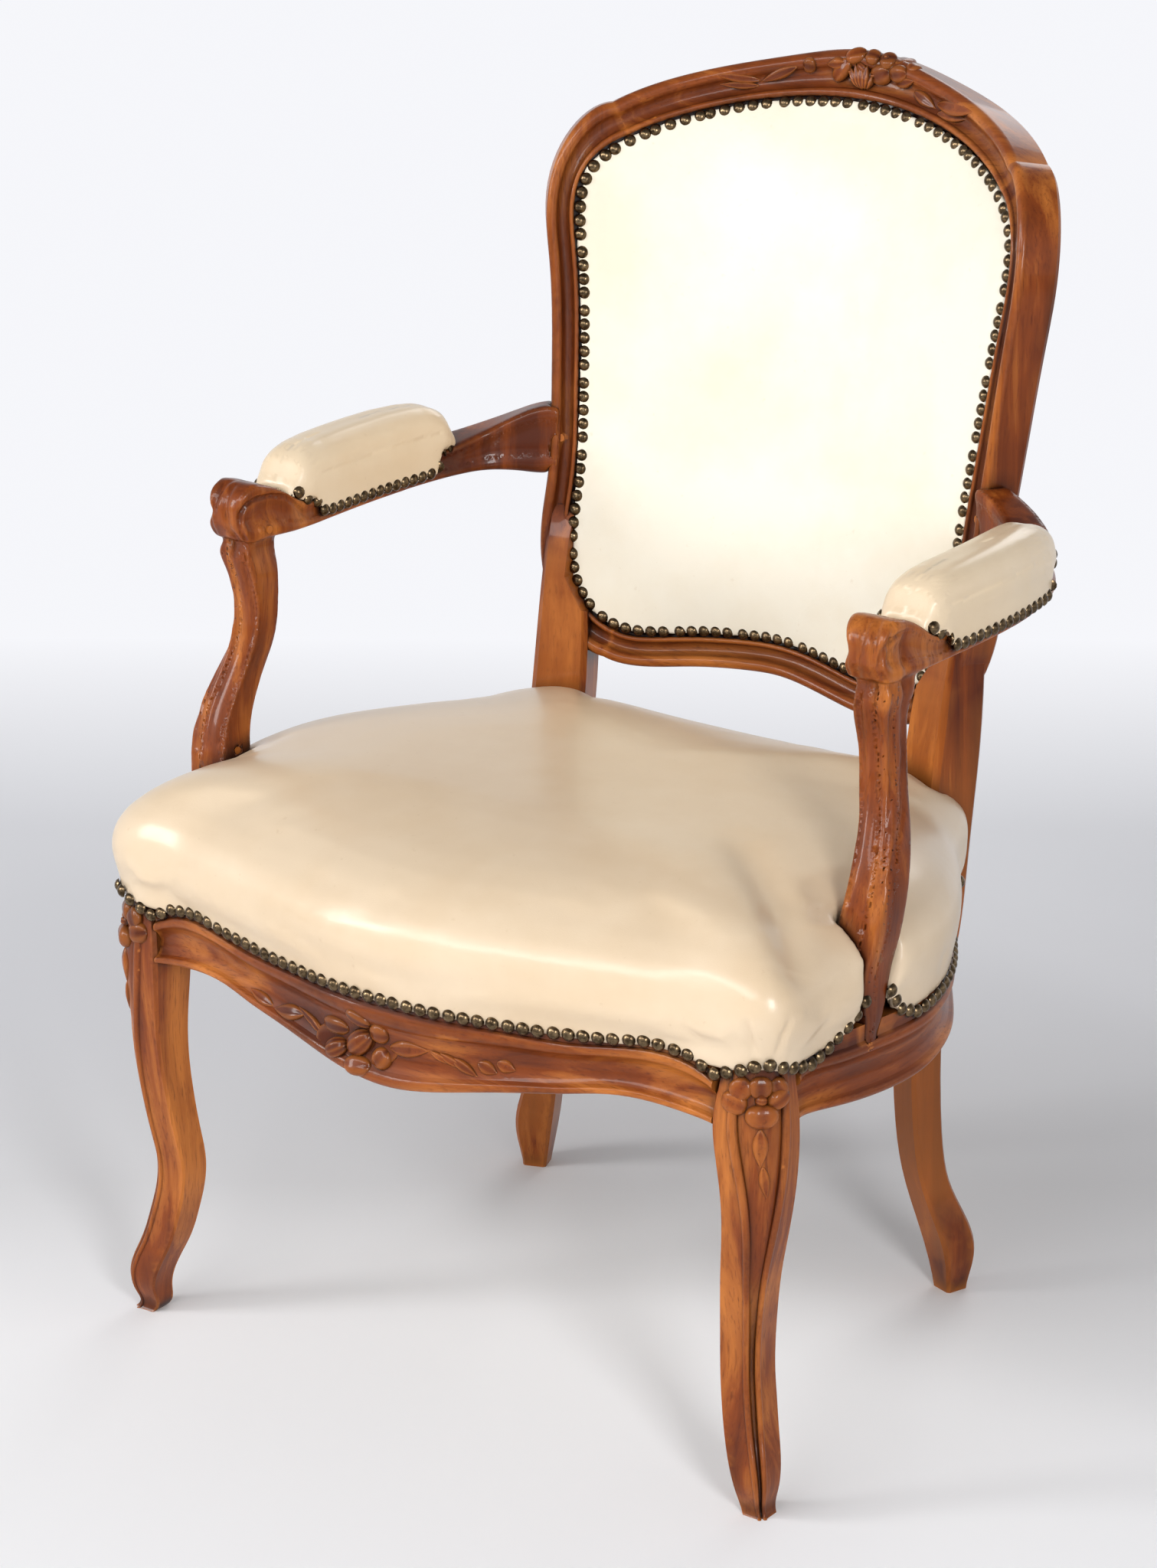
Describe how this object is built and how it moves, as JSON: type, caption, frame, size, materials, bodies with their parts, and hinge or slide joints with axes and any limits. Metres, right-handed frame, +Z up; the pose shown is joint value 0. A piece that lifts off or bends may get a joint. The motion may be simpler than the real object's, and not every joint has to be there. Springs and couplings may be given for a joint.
{
  "type": "armchair",
  "caption": "Open-arm upholstered armchair: carved wooden frame with hollow back and cabriole legs, leather seat, back and arm pads edged with dome nails.",
  "frame": {"origin": "on the floor under the middle of the chair's bounding box", "axes": "+Z up, the chair faces -Y, +X towards the right of someone who looks at its front"},
  "size_m": [0.6276, 0.6413, 0.9153],
  "materials": {
    "stained_beech": "gloss",
    "raw_beech": "matte",
    "cream_leather": "semi-gloss",
    "aged_brass": "satin",
    "spring_steel": "satin",
    "jute_webbing": "matte",
    "hessian": "matte",
    "horsehair_stuffing": "matte",
    "bottom_cloth": "matte"
  },
  "bodies": {
    "chair": {"front_leg_left": "stained_beech", "front_leg_right": "stained_beech", "rear_leg_left": "stained_beech", "rear_leg_right": "stained_beech", "front_seat_rail": "stained_beech", "side_seat_rail_left": "stained_beech", "side_seat_rail_right": "stained_beech", "back_seat_rail": "stained_beech", "crest_rail": "stained_beech", "lower_back_rail": "stained_beech", "arm_left": "stained_beech", "arm_right": "stained_beech", "arm_support_left": "stained_beech", "arm_support_right": "stained_beech", "front_corner_brace_left": "raw_beech", "front_corner_brace_right": "raw_beech", "rear_corner_brace_left": "raw_beech", "rear_corner_brace_right": "raw_beech", "brace_screws": "spring_steel", "joint_pegs": "stained_beech", "support_plugs": "stained_beech", "seat_cover": "cream_leather", "seat_stuffing": "horsehair_stuffing", "seat_hessian": "hessian", "seat_webbing_lengthwise": "jute_webbing", "seat_webbing_crosswise": "jute_webbing", "webbing_tacks": "spring_steel", "seat_springs": "spring_steel", "bottom_cloth": "bottom_cloth", "back_webbing_upright": "jute_webbing", "back_webbing_crosswise": "jute_webbing", "back_hessian": "hessian", "back_stuffing": "horsehair_stuffing", "back_cover_front": "cream_leather", "back_cover_rear": "cream_leather", "arm_stuffing_left": "horsehair_stuffing", "arm_stuffing_right": "horsehair_stuffing", "arm_cover_left": "cream_leather", "arm_cover_right": "cream_leather", "seat_nails": "aged_brass", "back_nails_front": "aged_brass", "back_nails_rear": "aged_brass", "arm_nails_left": "aged_brass", "arm_nails_right": "aged_brass"}
  },
  "joints": []
}
